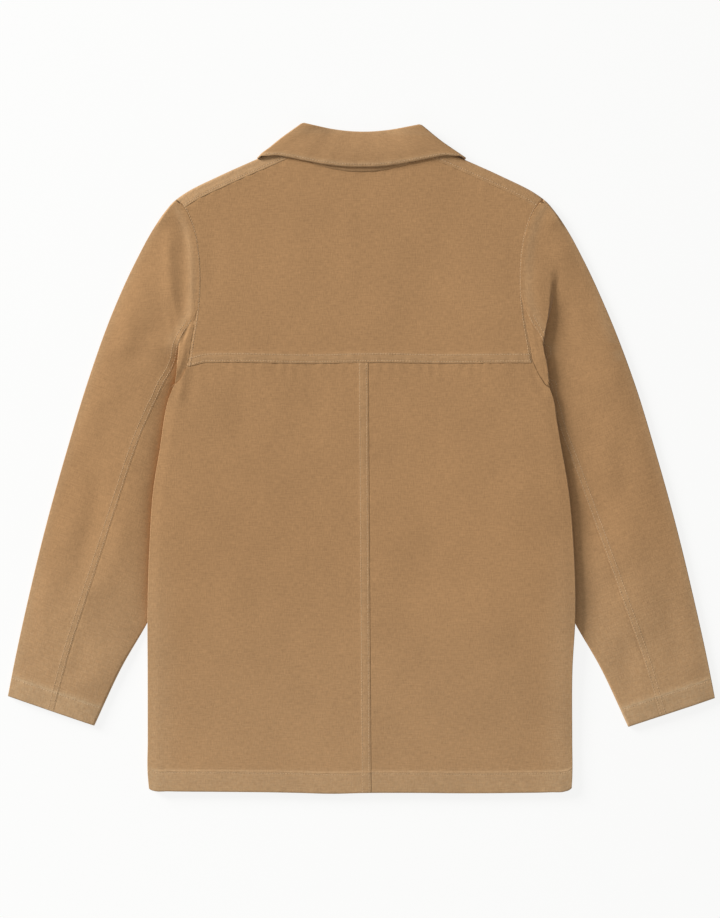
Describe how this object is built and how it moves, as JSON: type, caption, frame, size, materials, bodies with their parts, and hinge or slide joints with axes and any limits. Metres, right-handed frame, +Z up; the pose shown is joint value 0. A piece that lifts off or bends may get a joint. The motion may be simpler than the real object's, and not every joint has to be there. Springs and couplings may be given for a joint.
{
  "type": "brushed-canvas jacket laid face down",
  "caption": "Long-sleeved camel cloth jacket with a back yoke, centre-back seam and turned-down collar, laid flat with its back uppermost.",
  "frame": {"origin": "the middle of the garment's footprint, on the surface that it lies on", "axes": "+Z up from the surface, +Y towards the neck, +X towards the wearer's right sleeve; the wearer's front faces down"},
  "size_m": [0.8106, 0.7682, 0.0096],
  "materials": {
    "brushed_canvas": "camel cotton canvas with a brushed, slightly slubby face and paler rubbed seams",
    "horn_button": "dark brown horn-like polyester, half matt"
  },
  "bodies": {
    "root": {"back_yoke": "brushed_canvas", "back_left": "brushed_canvas", "back_right": "brushed_canvas", "front_left": "brushed_canvas", "front_right": "brushed_canvas", "top_sleeve_left": "brushed_canvas", "top_sleeve_right": "brushed_canvas", "under_sleeve_left": "brushed_canvas", "under_sleeve_right": "brushed_canvas", "collar_leaf": "brushed_canvas", "collar_stand": "brushed_canvas", "button_1": "horn_button", "button_2": "horn_button", "button_3": "horn_button", "button_4": "horn_button", "button_5": "horn_button"}
  },
  "joints": []
}
